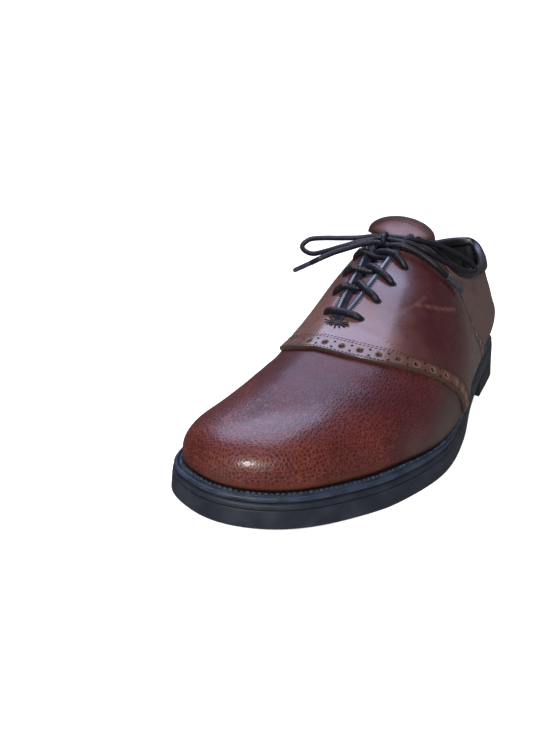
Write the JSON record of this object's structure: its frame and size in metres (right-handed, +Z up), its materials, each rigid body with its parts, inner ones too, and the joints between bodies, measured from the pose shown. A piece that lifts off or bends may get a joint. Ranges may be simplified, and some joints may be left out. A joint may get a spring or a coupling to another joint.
{
  "type": "saddle oxford shoe",
  "caption": "Left laced oxford dress shoe with a brogued saddle over a pebble grain vamp, a tied bow, a bound collar and a rubber sole with a stacked heel.",
  "frame": {"origin": "on the floor, under the middle of the sole's length and width", "axes": "+Z up, -Y towards the toe, +X towards the outer side of the foot (a left shoe)"},
  "size_m": [0.122, 0.3052, 0.1247],
  "materials": {
    "outsole_rubber": "satin black rubber",
    "midsole_rubber": "dull brown-black rubber",
    "welt_rubber": "satin black rubber with stitch beads",
    "heel_rubber": "satin black rubber",
    "insole_leather": "dark lining leather",
    "grain_leather": "polished pebble grain, chestnut red",
    "saddle_leather": "polished smooth leather, chestnut brown",
    "binding_leather": "satin black leather",
    "tongue_leather": "smooth leather, chestnut brown",
    "lace_cord": "waxed round cord, black",
    "aglet_plastic": "gloss black"
  },
  "bodies": {
    "root": {"outsole": "outsole_rubber", "midsole": "midsole_rubber", "welt": "welt_rubber", "heel": "heel_rubber", "insole": "insole_leather", "upper": "grain_leather", "saddle": "saddle_leather", "collar_binding": "binding_leather", "tongue": "tongue_leather", "lace_bar": "lace_cord", "lace_crossing_1": "lace_cord", "lace_crossing_2": "lace_cord", "lace_crossing_3": "lace_cord", "lace_knot": "lace_cord", "lace_loop_outer": "lace_cord", "lace_loop_inner": "lace_cord", "lace_end_outer": "lace_cord", "lace_end_inner": "lace_cord", "aglet_outer": "aglet_plastic", "aglet_inner": "aglet_plastic"}
  },
  "joints": []
}
